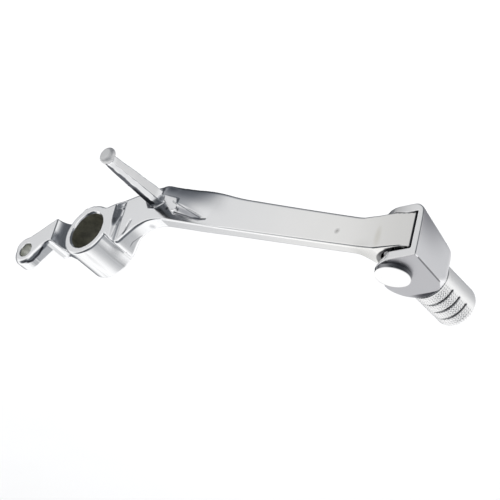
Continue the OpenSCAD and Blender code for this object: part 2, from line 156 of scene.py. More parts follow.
# Lever
def lever_outlines():
    """Distances to the lever's side view from the tube on, its rear arm and its plan."""
    slope = 0.321
    neck_hi = curve([(6.3, -2), (11.5, 4.3), (20.1, 10.6), (21.7, 10.4), (24.5, 8.2), (27.9, 5.6),
                     (31.4, 4), (34.9, 3), (38.9, 2.9), (43.5, 3.6)])
    neck_lo = curve([(6.3, -9.6), (13.3, -11.3), (17.9, -11.6), (24.9, -12.8), (35.9, -14.2),
                     (39.9, -14.1), (43.5, -13.8)])
    blade_hi = curve([(43.5, 3.6), (67.5, 3.6 + 24 * slope * 1.02), (148.5, 37.2), (156.5, 39.4)])
    blade_lo = curve([(43.5, -13.8), (61.5, -13.6 + 18 * slope * 1.06), (85.5, -12.4 + 42 * slope * 1.05),
                      (148.5, 24), (152.5, 24.6), (157.5, 25.2)])
    neck_x = np.linspace(6.3, 43.4, 60)
    top = [(x, float(neck_hi(x))) for x in neck_x]
    top += [(x, float(blade_hi(x))) for x in np.linspace(43.6, 156.5, 50)]
    top += [(164.7, 40.1), (168.7, 40.5), (172.9, 41.6)]
    low = [(x, float(neck_lo(x))) for x in neck_x]
    low += [(x, float(blade_lo(x))) for x in np.linspace(43.6, 157, 50)]
    low = [(x, z - 1.7 * fade(x, 43, 51) * (1 - fade(x, 58, 90))) for x, z in low]
    low += [(163.7, 25.4), (167.9, 26.3), (172.9, 27.2)]

    rear = [(-0.1, 7.3), (-11.3, 6.4), (-15.3, 4.6), (-21, 1.7), (-22.8, 1.5), (-24.6, 2.4), (-27.4, 5),
            (-30.1, 7.3)]
    rear += arc(EYE_X, EYE_Z, 6.9, np.arange(38, 250, 8))
    rear += [(-35.6, -3.2), (-31, -5.4), (-22.3, -9.9), (-12.3, -11.2), (-0.1, -11.9)]

    back = curve([(6.3, 15.5), (12.3, 15), (20.9, 12), (27.9, 7.5), (38.9, 6.3), (53.5, 5.9), (180, 5.9)])
    plan = [(0, 14), (0, -15.5)] + [(x, -float(back(x))) for x in np.linspace(6.3, 145, 70)]
    plan += [(147, -6.3), (148.3, -7.2), (149.2, -8.4), (149.9, -9.4), (151.2, -11), (152.8, -12.6)]
    plan += arc(PIN_X, PIN_Y, 9.2, np.arange(217, 361, 9)) + [(171, -5.9), (180, -5.9), (180, 14)]
    return outline(top + low[::-1]), outline(rear), outline(plan)


side_d, rear_d, plan_d = lever_outlines()
# By x: middle of the neck and blade, rounding of their upper and lower edges; then the groove's depth,
# the thick part of the rear arm, and the room for the block's lower ear
mid_z = steps((6, -5), (20, -1), (43.5, -5.1), (67.5, 3.4), (148.5, 30.7), (175, 33.5))
edge_hi = steps((6, 1.3), (30, 1.1), (46, 0.6), (66, 0.5), (84, 1.0), (150, 1.1), (160, 0.9), (168, 0.7),
                (172, 0.25))
edge_lo = steps((6, 1.2), (30, 1.8), (40, 2.0), (50, 2.8), (62, 2.0), (78, 1.5), (150, 1.1), (160, 0.45),
                (172, 0.25))
groove_y = steps((-12, 0.0), (-5, 0.5), (-2, 1.5), (1, 2.4), (9, 2.7))
arm_low_z = steps((-43, 1.0), (-36, 2.5), (-28, 1.5), (-10, 0))
ear_z = steps((-6.2, 26.7), (-5.6, 25.4), (-4.2, 25.4), (-3.6, 20))

# Reach of the finger's four sides from its axis, and of its bevel, by height
finger_px = steps((-1, 4.3), (5, 3.6), (16.8, 2.6), (28, 1.4), (31, 1.2))
finger_mx = steps((-1, 1.8), (5, 1.8), (16.8, 2.05), (28, 2.25), (31, 2.1))
finger_pz = steps((-1, 3.6), (5, 3.28), (16.8, 3.09), (28, 2.72), (31, 2.6))
finger_mz = steps((-1, 2.6), (5, 2.37), (16.8, 1.92), (28, 1.53), (31, 1.4))
finger_edge = steps((-1, 2.5), (5, 2.35), (16.8, 2.11), (28, 1.92), (31, 1.85))

# The leaf's height and place of its crest, and its foot on the blade; the pad's outline
crest_y = steps((50, 2.45), (52.5, 2.15), (56, 1.75), (60, 1.25), (65.8, 0.65), (70, 0.0), (75, -2))
crest_z = steps((50, -2.6), (52.6, -0.9), (60.0, 3.9), (66.7, 8.2), (70.3, 9.7))
foot_z = steps((46, -0.7), (49.4, 1.2), (56.5, 4.4), (61.8, 6.9), (66.7, 8.5), (69.4, 8.9))
pad_d = outline([(44.9, -6.6), (51.7, -3.9), (53.0, 1.3), (50.4, 1.8), (45.6, -3.0)], margin=20)


def finger(p):
    """Tapered finger with a bevel along one edge, and its knob."""
    x, y, z = p
    px, mx, pz, mz = finger_px(y), finger_mx(y), finger_pz(y), finger_mz(y)
    bar = crossed(np.abs(x - FINGER_X - (px - mx) / 2) - (px + mx) / 2,
                  np.abs(z - FINGER_Z - (pz - mz) / 2) - (pz + mz) / 2, 0.2)
    bar = meet(bar, (0.37 * (x - FINGER_X - px) + z - FINGER_Z - finger_edge(y)) * 0.938, 0.15)
    bar = np.maximum(bar * 0.99, np.abs(y - 14) - 17)
    knob = prism(np.hypot(x - FINGER_X, z - FINGER_Z) - KNOB_R, y - KNOB_Y, 1.7, 1.65)
    return union(bar, knob, 0.8)


def rib(p):
    """Square pad at the foot of the finger and the low leaf-shaped rib that runs out of it."""
    x, y, z = p
    top, crest = crest_y(x), crest_z(x)
    high = np.minimum(np.minimum(top + 0.9 * (z - crest), top - 0.5 * (z - crest)), 1.4 * (foot_z(x) - z))
    leaf = np.maximum((y - high) * 0.7, np.maximum(50 - x, np.maximum(-2 - y, np.abs(z - 3) - 12)))
    pad = crossed(pad_d(x, z) - 0.2 * np.maximum(2.7 - y, 0), np.maximum(y - 3.2 + 0.17 * (x - 45), -4 - y), 0.15)
    return union(leaf, pad, 0.2)


def swell(x, z):
    """Rise of the blade's face into the finger and its rib, and its droop beyond them."""
    start, run, run_l = (42, -7.2), (27.5, 16), 31.8
    d, t = to_line(x, z, start, run)
    side = ((x - start[0]) * run[1] - (z - start[1]) * run[0]) / run_l
    ridge = np.interp(t, [0, 0.31, 0.4, 0.51, 0.65, 0.87, 1], [2.3, 2.0, 1.8, 1.5, 1.05, 0.45, 0])
    rise = ridge * np.exp(-np.maximum(d - 0.3, 0) / (5.4 - 2.4 * t))
    droop = 0.024 * fade(x, 41, 50) * (1 - fade(x, 54, 80)) * np.maximum(mid_z(x) + 1 - z, 0) ** 2
    return rise * fade(side, -1.5, 0.8) * fade(x, 38, 43) - droop


def lever_bar(x, y, z, face):
    """Neck and blade, with the groove beside the tube and the wrinkle next to it."""
    above = fade(z - mid_z(x), -3, 3)
    edge = edge_hi(x) * above + edge_lo(x) * (1 - above)
    bar = crossed(side_d(x, z), np.maximum(face, plan_d(x, y)), edge)
    groove = np.hypot(x - 17.2 - 0.04 * z, y - groove_y(z)) - 2.9
    bar = cut(bar, np.maximum(groove, -10.2 - z), 0.9)
    d, t = to_line(x, z, (25.7, 0.6), (-2.1, 6.2))
    return cut(bar, np.hypot(d, y - 0.6 - 0.5 * np.abs(t - 0.45)) - 1.0, 0.4)


def lever_arm(x, y, z):
    """Rear arm: a thin plate with the eye, thicker towards the tube, with a scoop in its face."""
    low = fade(z - arm_low_z(x), -1, 2)
    arm = prism(rear_d(x, z), y + 7, 7, 0.5 + 1.6 * low)
    plate = -y - 6.3
    web = np.maximum(-24.9 - x, x + 7)
    arm = meet(arm, np.minimum(plate, web), 0.8)
    return cut(arm, np.hypot(x + 13.3, y) - 7.8, 0.5)


def lever(p):
    x, y, z = p
    face = y - swell(x, z)
    from_axis = np.hypot(x, z)
    tube = prism(from_axis - TUBE_R, y + TUBE_L / 2, TUBE_L / 2, 1.0)
    body = union(tube, lever_bar(x, y, z, face), 1.2)
    body = union(body, lever_arm(x, y, z), 1.0)
    body = np.maximum(body, face)
    body = union(body, rib(p), 0.5)
    body = union(body, finger(p), 0.4 + 1.0 * fade(-x, -38, -35))
    rim = from_axis - BORE_R - 0.8 - np.minimum(np.maximum(y, -TUBE_L - y), 0.3)
    body = np.maximum(body, -np.minimum(from_axis - BORE_R, rim * 0.7))
    body = cut(body, np.hypot(x - EYE_X, z - EYE_Z) - EYE_R, 0.5)
    from_pin = np.hypot(x - PIN_X, y - PIN_Y)
    body = np.maximum(body, PIN_HOLE_R - from_pin)
    body = np.maximum(body, -np.maximum(from_pin - 5.6, 30 - z))
    # Room for the block's lower ear when the toe piece is folded
    return np.maximum(body, np.minimum(ear_z(y) - z, x - 146))


# Toe block
def toe_outline():
    ear = [(169, 2), (164.6, 0.0), (162.8, -0.4), (160.6, -1.2), (158.2, -2.7), (156.2, -4.5), (154.8, -6.6)]
    ear += arc(163.7, -15.6, 10.0, np.linspace(152, 176, 13)) + arc(163.7, -15.6, 10.4, np.linspace(180, 270, 13))
    return outline(ear + arc(168.2, -19.5, 7, np.linspace(270, 352, 13)) + [(176.1, 0), (176.1, 6), (170.7, 6)])


toe_d = toe_outline()
# Radius about the peg's axis, by depth, of the block's front part and of its part behind the peg
toe_round = steps((0, 34), (10, 22), (15, 16.5), (17.5, 14.6), (20, 13.6), (22, 12.7), (23.2, 11.6), (23.9, 8.0),
                  (26.5, 8.0))
toe_round_back = steps((0, 34), (18.3, 22), (21, 13.6), (23.6, 12.8), (25.4, 11.2), (26.3, 9.6))


def toe_block(p):
    x, y, z = p
    edge = 1.3 * np.clip((45.0 - z) / 3, 0, 1) * fade(-x, -166, -160) * fade(z, 36, 39)
    out = prism(toe_d(x, y) + edge, z - (BLOCK_LO + BLOCK_HI) / 2, (BLOCK_HI - BLOCK_LO) / 2, 0.55)
    front = x + 0.0045 * np.maximum(37 - z, 0) ** 2 + 0.0008 * np.maximum(-y - 8, 0) ** 2 - 176.08
    out = meet(out, front * 0.98, 0.5)
    t = np.clip((-y - 1) / 20, 0, 1)
    corner_x, corner_z, corner_r = 169.9 - 7.2 * t, 29.0 + 8.2 * t, 6.5 + 7.6 * t
    out = meet(out, crossed(x - corner_x - corner_r, corner_z - z - corner_r, corner_r), 0.5)
    from_peg = np.hypot(x - PEG_X, z - PEG_Z)
    w = fade(x, 158, 166)
    out = meet(out, (from_peg - (toe_round(-y) * w + toe_round_back(-y) * (1 - w))) * 0.6, 0.4)
    out = meet(out, y + 0.3, 0.3)
    slot = box(p, (100, -18.3, SLOT_LO), (SLOT_END, 40, SLOT_HI), 0.35)
    slot = np.maximum(slot, SLOT_LO + 0.24 * np.clip(x - PEG_X, 0, 5) - z)
    out = cut(out, slot, 0.35)
    out = union(out, prism(from_peg - 8.0, y + 24.5, 1.95, 0.2), 0.3)
    out = np.maximum(out, PIN_HOLE_R - np.hypot(x - PIN_X, y - PIN_Y))
    return np.maximum(out, -np.maximum(from_peg - 3.02, y + 17.0))


# Meshes
def place(name, data):
    obj = bpy.data.objects.new(name, data)
    bpy.context.scene.collection.objects.link(obj)
    return obj


def sample(f, lo, hi, h, b=6):
    """f on a regular grid of spacing h, worked out only in the blocks of b cells that are near the surface."""
    n = np.ceil((hi - lo) / (h * b)).astype(int) * b + 1
    mids = [lo[i] + h * b * (np.arange((n[i] - 1) // b) + 0.5) for i in range(3)]
    cx, cy, cz = np.meshgrid(*mids, indexing="ij")
    mid = f((cx.ravel(), cy.ravel(), cz.ravel())).reshape(cx.shape)
    grid = np.repeat(np.repeat(np.repeat(np.where(mid < 0, -9.0, 9.0), b, 0), b, 1), b, 2)
    grid = np.pad(grid, ((0, 1),) * 3, mode="edge").astype(np.float32)
    near = np.argwhere(np.abs(mid) < h * b * 0.9 + 1.6)
    k = np.arange(b + 1)
    off = np.stack(np.meshgrid(k, k, k, indexing="ij"), -1).reshape(-1, 3)
    for part in np.array_split(near, max(1, len(near) * len(off) // 400000)):
        idx = (part[:, None, :] * b + off[None]).reshape(-1, 3)
        grid[idx[:, 0], idx[:, 1], idx[:, 2]] = f(tuple(lo[i] + h * idx[:, i] for i in range(3)))
    return grid


def cell_points(grid, cells):
    """Mean of the points where the surface crosses the edges of each cell."""
    total, count = np.zeros((len(cells), 3)), np.zeros(len(cells))
    for corner in np.ndindex(2, 2, 2):
        for axis in range(3):
            if corner[axis]:
                continue
            a = np.array(corner)
            b = a.copy()
            b[axis] = 1
            va, vb = grid[tuple((cells + a).T)], grid[tuple((cells + b).T)]
            hit = (va < 0) != (vb < 0)
            q = np.repeat(a[None].astype(float), hit.sum(), 0)
            q[:, axis] += va[hit] / (va[hit] - vb[hit])
            total[hit] += q
            count[hit] += 1
    return cells + total / count[:, None]


def quads(inside, ident):
    """A quad around each grid edge that the surface crosses, from the cells about it."""
    faces = []
    for axis, (u, v) in enumerate(((1, 2), (2, 0), (0, 1))):
        sl0, sl1 = [slice(1, -1)] * 3, [slice(1, -1)] * 3
        sl0[axis], sl1[axis] = slice(0, -1), slice(1, None)
        a, c = inside[tuple(sl0)], inside[tuple(sl1)]
        for sign, hit in ((1, a & ~c), (-1, ~a & c)):
            g = np.argwhere(hit) + 1
            g[:, axis] -= 1
            ring = []
            for du, dv in ((-1, -1), (0, -1), (0, 0), (-1, 0)):
                q = g.copy()
                q[:, u] += du
                q[:, v] += dv
                ring.append(ident[tuple(q.T)])
            faces.append(np.stack(ring, 1)[:, ::sign])
    return np.concatenate(faces)


def slope(f, p, e):
    """Gradient of f at p from four points at distance e."""
    g = np.zeros_like(p)
    for d in np.array(((1, 1, 1), (1, -1, -1), (-1, 1, -1), (-1, -1, 1)), float):
        g += d * f(tuple((p + e * d).T))[:, None]
    return g / (4 * e)


def surface(name, f, lo, hi, h):
    """Zero surface of f as quads on a grid, its vertices pulled onto the surface, with the normals of f."""
    lo, hi = np.array(lo, float) - 2 * h, np.array(hi, float) + 2 * h
    grid = sample(f, lo, hi, h)
    inside = grid < 0
    n = grid.shape
    total = sum(inside[i:n[0] - 1 + i, j:n[1] - 1 + j, k:n[2] - 1 + k].astype(np.int8)
                for i, j, k in np.ndindex(2, 2, 2))
    cells = np.argwhere((total > 0) & (total < 8))
    ident = np.full(total.shape, -1, np.int64)
    ident[tuple(cells.T)] = np.arange(len(cells))
    verts = lo + h * cell_points(grid, cells)
    faces = quads(inside, ident)
    for _ in range(3):
        g = slope(f, verts, 0.02)
        move = f(tuple(verts.T))[:, None] * g / np.maximum((g * g).sum(1), 0.25)[:, None]
        size = np.linalg.norm(move, axis=1)[:, None]
        verts = verts - move * np.minimum(1, 0.5 * h / np.maximum(size, 1e-9))
    mesh = bpy.data.meshes.new(name)
    mesh.vertices.add(len(verts))
    mesh.vertices.foreach_set("co", (verts * MM).astype(np.float32).ravel())
    mesh.loops.add(faces.size)
    mesh.loops.foreach_set("vertex_index", faces.astype(np.int32).ravel())
    mesh.polygons.add(len(faces))
    mesh.polygons.foreach_set("loop_start", np.arange(0, faces.size, 4, dtype=np.int32))
    mesh.update(calc_edges=True)
    mesh.validate()
    mesh.polygons.foreach_set("use_smooth", np.ones(len(mesh.polygons), bool))
    g = slope(f, verts, 0.12)
    g /= np.maximum(np.linalg.norm(g, axis=1), 1e-9)[:, None]
    mesh.normals_split_custom_set_from_vertices(g.tolist())
    return place(name, mesh)


def turned(name, profile, centre, axis, turns=96, fine=None, shave=None):
    """A profile of (radius, height) turned about an axis through centre.

    fine splits the profile into short pieces, and shave gives what is taken off the radius."""
    prof = []
    for a, b in zip(profile, profile[1:]):
        n = max(1, int(np.hypot(b[0] - a[0], b[1] - a[1]) / fine)) if fine else 1
        prof += [(a[0] + (b[0] - a[0]) * k / n, a[1] + (b[1] - a[1]) * k / n) for k in range(n)]
    prof.append(profile[-1])
    r, h = np.array(prof).T
    angle = np.arange(turns) * 2 * math.pi / turns
    rr, hh, aa = np.repeat(r, turns), np.repeat(h, turns), np.tile(angle, len(r))
    if shave:
        rr = rr - shave(rr, hh, aa)
    u, v = rr * np.cos(aa), rr * np.sin(aa)
    pts = np.array(centre, float) + (np.stack([u, -hh, v], 1) if axis == "-Y" else np.stack([u, v, hh], 1))
    i, j = np.meshgrid(np.arange(len(prof) - 1) * turns, np.arange(turns), indexing="ij")
    k = (j + 1) % turns
    faces = np.stack([i + j, i + k, i + turns + k, i + turns + j], -1).reshape(-1, 4)
    mesh = bpy.data.meshes.new(name)
    mesh.from_pydata((pts * MM).tolist(), [], faces.tolist())
    bm = bmesh.new()
    bm.from_mesh(mesh)
    bmesh.ops.remove_doubles(bm, verts=bm.verts, dist=1e-7)
    bmesh.ops.recalc_face_normals(bm, faces=bm.faces)
    bm.to_mesh(mesh)
    bm.free()
    mesh.set_sharp_from_angle(angle=math.radians(35))
    return place(name, mesh)


def rounded(points, r):
    """The points of a profile with small rounded corners."""
    p = [np.array(q, float) for q in points]
    out = [tuple(p[0])]
    for a, b, c in zip(p, p[1:], p[2:]):
        d0, d1 = a - b, c - b
        l0, l1 = np.linalg.norm(d0), np.linalg.norm(d1)
        q = min(r, l0 * 0.45, l1 * 0.45)
        s, e = b + d0 / l0 * q, b + d1 / l1 * q
        out += [tuple(s * (1 - t) ** 2 + 2 * b * t * (1 - t) + e * t * t) for t in (0, 0.25, 0.5, 0.75, 1)]
    out.append(tuple(p[-1]))
    return out


# Materials. Positions in the node trees are in metres.
class Tree:
    def __init__(self, owner):
        owner.use_nodes = True
        self.tree = owner.node_tree
        self.tree.nodes.clear()

    def add(self, kind, inputs=(), **props):
        n = self.tree.nodes.new(kind)
        for k, v in props.items():
            setattr(n, k, v)
        for key, value in dict(inputs).items():
            if isinstance(value, bpy.types.NodeSocket):
                self.tree.links.new(value, n.inputs[key])
            else:
                n.inputs[key].default_value = value
        return n

    def math(self, op, a, b=0.0, c=0.0, clamp=False):
        return self.add("ShaderNodeMath", {0: a, 1: b, 2: c}, operation=op, use_clamp=clamp).outputs[0]

    def product(self, *parts):
        out = parts[0]
        for p in parts[1:]:
            out = self.math("MULTIPLY", out, p)
        return out

    def vector(self, op, a, b=(0, 0, 0)):
        out = self.add("ShaderNodeVectorMath", {0: a, 1: b}, operation=op).outputs
        return out["Value"] if op in ("LENGTH", "DOT_PRODUCT") else out[0]

    def split(self, v):
        return self.add("ShaderNodeSeparateXYZ", {0: v}).outputs

    def distance(self, v, centre, scale=(1, 1, 1)):
        return self.vector("LENGTH", self.vector("MULTIPLY", self.vector("SUBTRACT", v, centre), scale))

    def between(self, v, a, b, most=1.0):
        """Soft step of v from 0 at a to most at b."""
        n = self.add("ShaderNodeMapRange", {0: v, 1: a, 2: b, 3: 0.0, 4: most}, interpolation_type="SMOOTHSTEP")
        return n.outputs[0]

    def mix(self, f, a, b, blend="MIX"):
        a, b = ((*c, 1) if isinstance(c, tuple) else c for c in (a, b))
        n = self.add("ShaderNodeMix", {0: f, 6: a, 7: b}, data_type="RGBA", blend_type=blend)
        return n.outputs[2]

    def ramp(self, f, stops):
        n = self.add("ShaderNodeValToRGB", {0: f})
        e = n.color_ramp.elements
        while len(e) < len(stops):
            e.new(0.5)
        for item, (pos, col) in zip(e, stops):
            item.position = pos
            item.color = (*col, 1)
        return n.outputs[0]

    def noise(self, v, scale, detail=3.0, rough=0.5):
        n = self.add("ShaderNodeTexNoise", {"Vector": v, "Scale": scale, "Detail": detail, "Roughness": rough})
        return n.outputs[0]

    def finish(self, colour, metallic, roughness, bump, height):
        normal = self.add("ShaderNodeBump", {"Strength": bump, "Distance": 0.0002, "Height": height}).outputs[0]
        p = self.add("ShaderNodeBsdfPrincipled",
                     {"Base Color": colour, "Metallic": metallic, "Roughness": roughness, "Normal": normal})
        self.add("ShaderNodeOutputMaterial", {0: p.outputs[0]})


SOFT = 0.65
# Dark colour of painted shade and painted reflections on the castings
PAINTED_SHADE = (0.055, 0.06, 0.075)


def to_stroke(t, pos, points):
    """Distance of pos to a line through points in millimetres."""
    best = None
    for a, b in zip(points, points[1:]):
        a, b = Vector(a) * MM, Vector(b) * MM
        rel = t.vector("SUBTRACT", pos, tuple(a))
        share = t.vector("DOT_PRODUCT", rel, tuple((b - a) / (b - a).length_squared))
        share = t.math("MULTIPLY", share, 1.0, clamp=True)
        on = t.add("ShaderNodeVectorMath", {0: tuple(b - a), "Scale": share}, operation="SCALE").outputs[0]
        d = t.vector("LENGTH", t.vector("SUBTRACT", rel, on))
        best = d if best is None else t.math("MINIMUM", best, d)
    return best


def metal(name, base, dark, rough, grain=900.0, bump=0.02, extra=None, marks=(), strokes=()):
    """Metal between two tones and two roughnesses.

    marks are (centre, radii, colour, amount), soft below an amount of SOFT,
    and strokes are (width, colour, amount, points)."""
    mat = bpy.data.materials.new(name)
    t = Tree(mat)
    where = t.add("ShaderNodeTexCoord").outputs
    pos = where["Object"]
    broad = t.noise(pos, 28.0, 4.0, 0.6)
    fine = t.noise(pos, grain, 3.0, 0.6)
    colour = t.ramp(broad, [(0.3, dark), (0.7, base)])
    if extra:
        colour = extra(t, pos, where["Normal"], colour)
    roughness = t.math("MULTIPLY_ADD", broad, rough[1] - rough[0], rough[0])
    roughness = t.math("MULTIPLY_ADD", fine, 0.02, roughness)
    for centre, radii, col, amount in marks:
        ragged, outer, inner = (0.3, 1.5, 0.1) if amount < SOFT else (0.7, 1.0, 0.45)
        d = t.distance(pos, tuple(c * MM for c in centre), tuple(1 / (c * MM) for c in radii))
        d = t.math("ADD", d, t.math("MULTIPLY_ADD", fine, ragged, -ragged / 2))
        f = t.between(d, outer, inner, amount)
        colour = t.mix(f, colour, col)
        roughness = t.math("MULTIPLY_ADD", f, 0.2, roughness)
    for width, col, amount, points in strokes:
        d = t.math("MULTIPLY_ADD", broad, width * MM, to_stroke(t, pos, points))
        colour = t.mix(t.between(d, 1.6 * width * MM, 0.9 * width * MM, amount), colour, col)
    t.finish(colour, 1.0, roughness, bump, fine)
    return mat


def lever_tint_and_painted_shade(t, pos, normal, colour):
    """Tints of the lever, greyer towards the tongue, and painted shade and reflections: a greyer side of the finger,
    shade on the blade beside the finger, streaks on the tube, the fork's shadow on the tongue and dark bands beside the
    finger.
    """
    x, y, z = t.split(pos)
    nx, ny, nz = t.split(normal)
    tint = t.mix(t.between(x, 0.05, 0.16), (0.985, 0.988, 1.0), (1.0, 0.992, 0.975))
    colour = t.mix(1.0, colour, tint, "MULTIPLY")
    colour = t.mix(t.product(t.between(x, 0.135, 0.172), 0.75), colour, (0.74, 0.735, 0.72))
    # Painted shade: the finger's side facing +X is greyer
    finger_side_shade = t.product(t.between(nx, 0.6, 0.9), t.between(y, 0.003, 0.005), t.between(y, 0.029, 0.027))
    colour = t.mix(t.product(finger_side_shade, 0.4), colour, (0.6, 0.6, 0.6))
    # Shade on the blade's face beside the finger
    low = t.math("MULTIPLY_ADD", x, -0.48, t.math("ADD", z, 0.0135 + 0.48 * 0.042))
    shade = t.product(t.between(low, 0.0075, 0.0), t.between(x, 0.039, 0.043), t.between(x, 0.084, 0.050),
                      t.between(ny, 0.3, 0.6))
    colour = t.mix(t.product(shade, 0.75), colour, (0.20, 0.215, 0.25))
    # Painted reflection: grey streaks along the tube
    streak_reflection = t.between(t.noise(t.vector("MULTIPLY", pos, (1.0, 0.06, 1.0)), 420.0, 2.0, 0.5), 0.48, 0.72)
    r = t.distance(pos, (0, 0, 0), (1, 0, 1))
    tube = t.product(t.between(r, 0.0112, 0.0118), t.between(r, 0.0132, 0.0126), t.between(y, -0.0006, -0.0016))
    colour = t.mix(t.product(tube, streak_reflection, 0.6), colour, (0.60, 0.61, 0.61))
    # Shadow of the fork on the tongue
    fork_shadow = t.distance(pos, (0.165, -0.0112, 0), (0.83, 1, 0))
    fork_shadow = t.product(t.between(fork_shadow, 0.0104, 0.0099), t.between(z, 0.0365, 0.0375))
    colour = t.mix(t.product(fork_shadow, 0.98), colour, (0.015, 0.015, 0.02))
    # Painted shade: dark bands on the finger's side, behind its foot and on the tongue's end
    wave = t.math("MULTIPLY_ADD", t.noise(pos, 160.0, 2.0, 0.5), 0.0018, -0.0009)
    edge = t.math("MULTIPLY_ADD", y, 0.083, t.math("ADD", x, wave))
    finger_band_shade = t.product(t.between(edge, 0.0399, 0.0393), t.between(nz, 0.3, 0.5), t.between(z, -0.0022, -0.0030),
                     t.between(y, 0.0012, 0.0020), t.between(y, 0.0306, 0.0296))
    behind = t.product(t.between(nx, -0.3, -0.5), t.between(x, 0.0315, 0.0335), t.between(x, 0.0372, 0.0368),
                       t.between(z, -0.0018, -0.0026), t.between(y, 0.0012, 0.0020))
    dark = t.math("MAXIMUM", t.math("MAXIMUM", finger_band_shade, behind), t.between(x, 0.1724, 0.1728))
    return t.mix(t.product(dark, 0.95), colour, PAINTED_SHADE)


def toe_painted_light(t, pos, normal, colour):
    """Painted light and shade on the block: a painted highlight on the rim around the slot, painted shade on the top,
    the front and the lower ear, and a painted shadow in the peg's seat.
    """
    x, y, z = t.split(pos)
    ny, nz = t.split(normal)[1:3]
    # Painted shade on the faces that look up
    colour = t.mix(t.between(nz, 0.5, 0.95), colour, (0.50, 0.50, 0.52))
    # Painted shade on the front, darkest near its lower corner
    front_corner_shade = t.distance(pos, (0.176, -0.003, 0.025), (0.6, 1.0, 1.1))
    colour = t.mix(t.product(t.between(front_corner_shade, 0.020, 0.0), 0.85), colour, (0.30, 0.30, 0.33))
    # Painted shadow in the peg's seat
    seat = t.product(t.between(y, -0.0232, -0.0237), t.between(x, 0.158, 0.164), t.between(z, 0.030, 0.034))
    colour = t.mix(seat, colour, (0.07, 0.07, 0.08))
    # Painted highlight on the rim around the slot
    rim = t.product(t.between(y, -0.0022, -0.0008), t.between(ny, 0.2, 0.7))
    colour = t.mix(rim, colour, (1.0, 1.0, 1.0))
    # Painted shade on the lower ear
    ear = t.product(t.between(z, 0.0262, 0.0255), t.between(x, 0.173, 0.158), t.between(ny, 0.5, 0.8), 0.8)
    return t.mix(ear, colour, (0.42, 0.42, 0.43))


def tread_painted_shade(t, pos, normal, colour):
    """Painted shade in the three grooves on the peg's upper side, and a dark weave of painted shade over the knurl."""
    x, y, z = t.split(pos)
    a = t.math("ARCTAN2", t.math("ADD", z, -PEG_Z * MM), t.math("ADD", x, -PEG_X * MM))
    top = t.product(t.between(a, 0.30, 0.40), t.between(a, 1.55, 1.15))
    # Painted shade in each groove
    for k in range(TREADS):
        d = t.math("ABSOLUTE", t.math("ADD", y, (PEG_L - PEG_Y - TREAD_Y - TREAD_PITCH * k) * MM))
        colour = t.mix(t.product(t.between(d, 0.00058, 0.0003), top, 0.9), colour, (0.10, 0.10, 0.11))
    # Painted shade as a dark weave over the knurl
    pitch = 0.00034
    u, v = t.math("MULTIPLY", a, PEG_R * MM / pitch), t.math("MULTIPLY", y, 1 / pitch)
    weave = t.product(t.math("SINE", t.math("ADD", u, v)), t.math("SINE", t.math("SUBTRACT", u, v)))
    rough = t.product(t.between(weave, 0.0, 0.5), t.between(a, 0.3, 0.4), t.between(a, 2.9, 2.7))
    return t.mix(t.product(rough, 0.45), colour, (0.30, 0.30, 0.31))


def pin_painted_reflection(t, pos, normal, colour):
    """Painted reflection: the dark crescent on the wall of the pin's head."""
    d = t.distance(pos, (0.1603, -0.0094, 0), (1, 1, 0))
    z = t.split(pos)[2]
    wall = t.product(t.between(d, 0.0067, 0.0072), t.between(z, 0.0452, 0.0455), t.between(z, 0.0473, 0.0470), 0.8)
    return t.mix(wall, colour, (0.12, 0.125, 0.14))


def raw_bore():
    mat = bpy.data.materials.new("raw_bore")
    t = Tree(mat)
    n = t.noise(t.add("ShaderNodeTexCoord").outputs["Object"], 420.0, 4.0, 0.65)
    colour = t.ramp(n, [(0.35, (0.088, 0.087, 0.064)), (0.65, (0.165, 0.162, 0.120))])
    t.finish(colour, 0.35, t.math("MULTIPLY_ADD", n, 0.25, 0.42), 0.3, n)
    return mat


LEVER_MARKS = [
    # Stains on the blade and near the tongue
    ((138.7, 0, 28.4), (1.1, 1.0, 1.1), (0.35, 0.35, 0.33), 0.6),
    ((158.0, 0, 34.6), (1.5, 1.0, 4.6), (0.72, 0.69, 0.60), 0.38),
    ((150.5, -5.0, 37.8), (6.5, 5.0, 4.0), (0.62, 0.62, 0.60), 0.55),
    # Painted shade and reflections beside the pad, in the groove, on the tube and under the neck
    ((45.6, 0.3, -1.3), (1.3, 1.1, 1.2), PAINTED_SHADE, 0.9),
    ((14.4, -2.2, -1.9), (1.7, 2.6, 3.0), PAINTED_SHADE, 0.9),
    ((19.0, -1.0, -3.6), (1.0, 2.4, 2.8), PAINTED_SHADE, 0.8),
    ((10.6, -10.4, 5.4), (3.4, 3.6, 3.4), (0.50, 0.51, 0.52), 0.62),
    ((35.6, -4.2, 2.9), (1.4, 1.4, 1.4), (0.45, 0.46, 0.48), 0.63)]
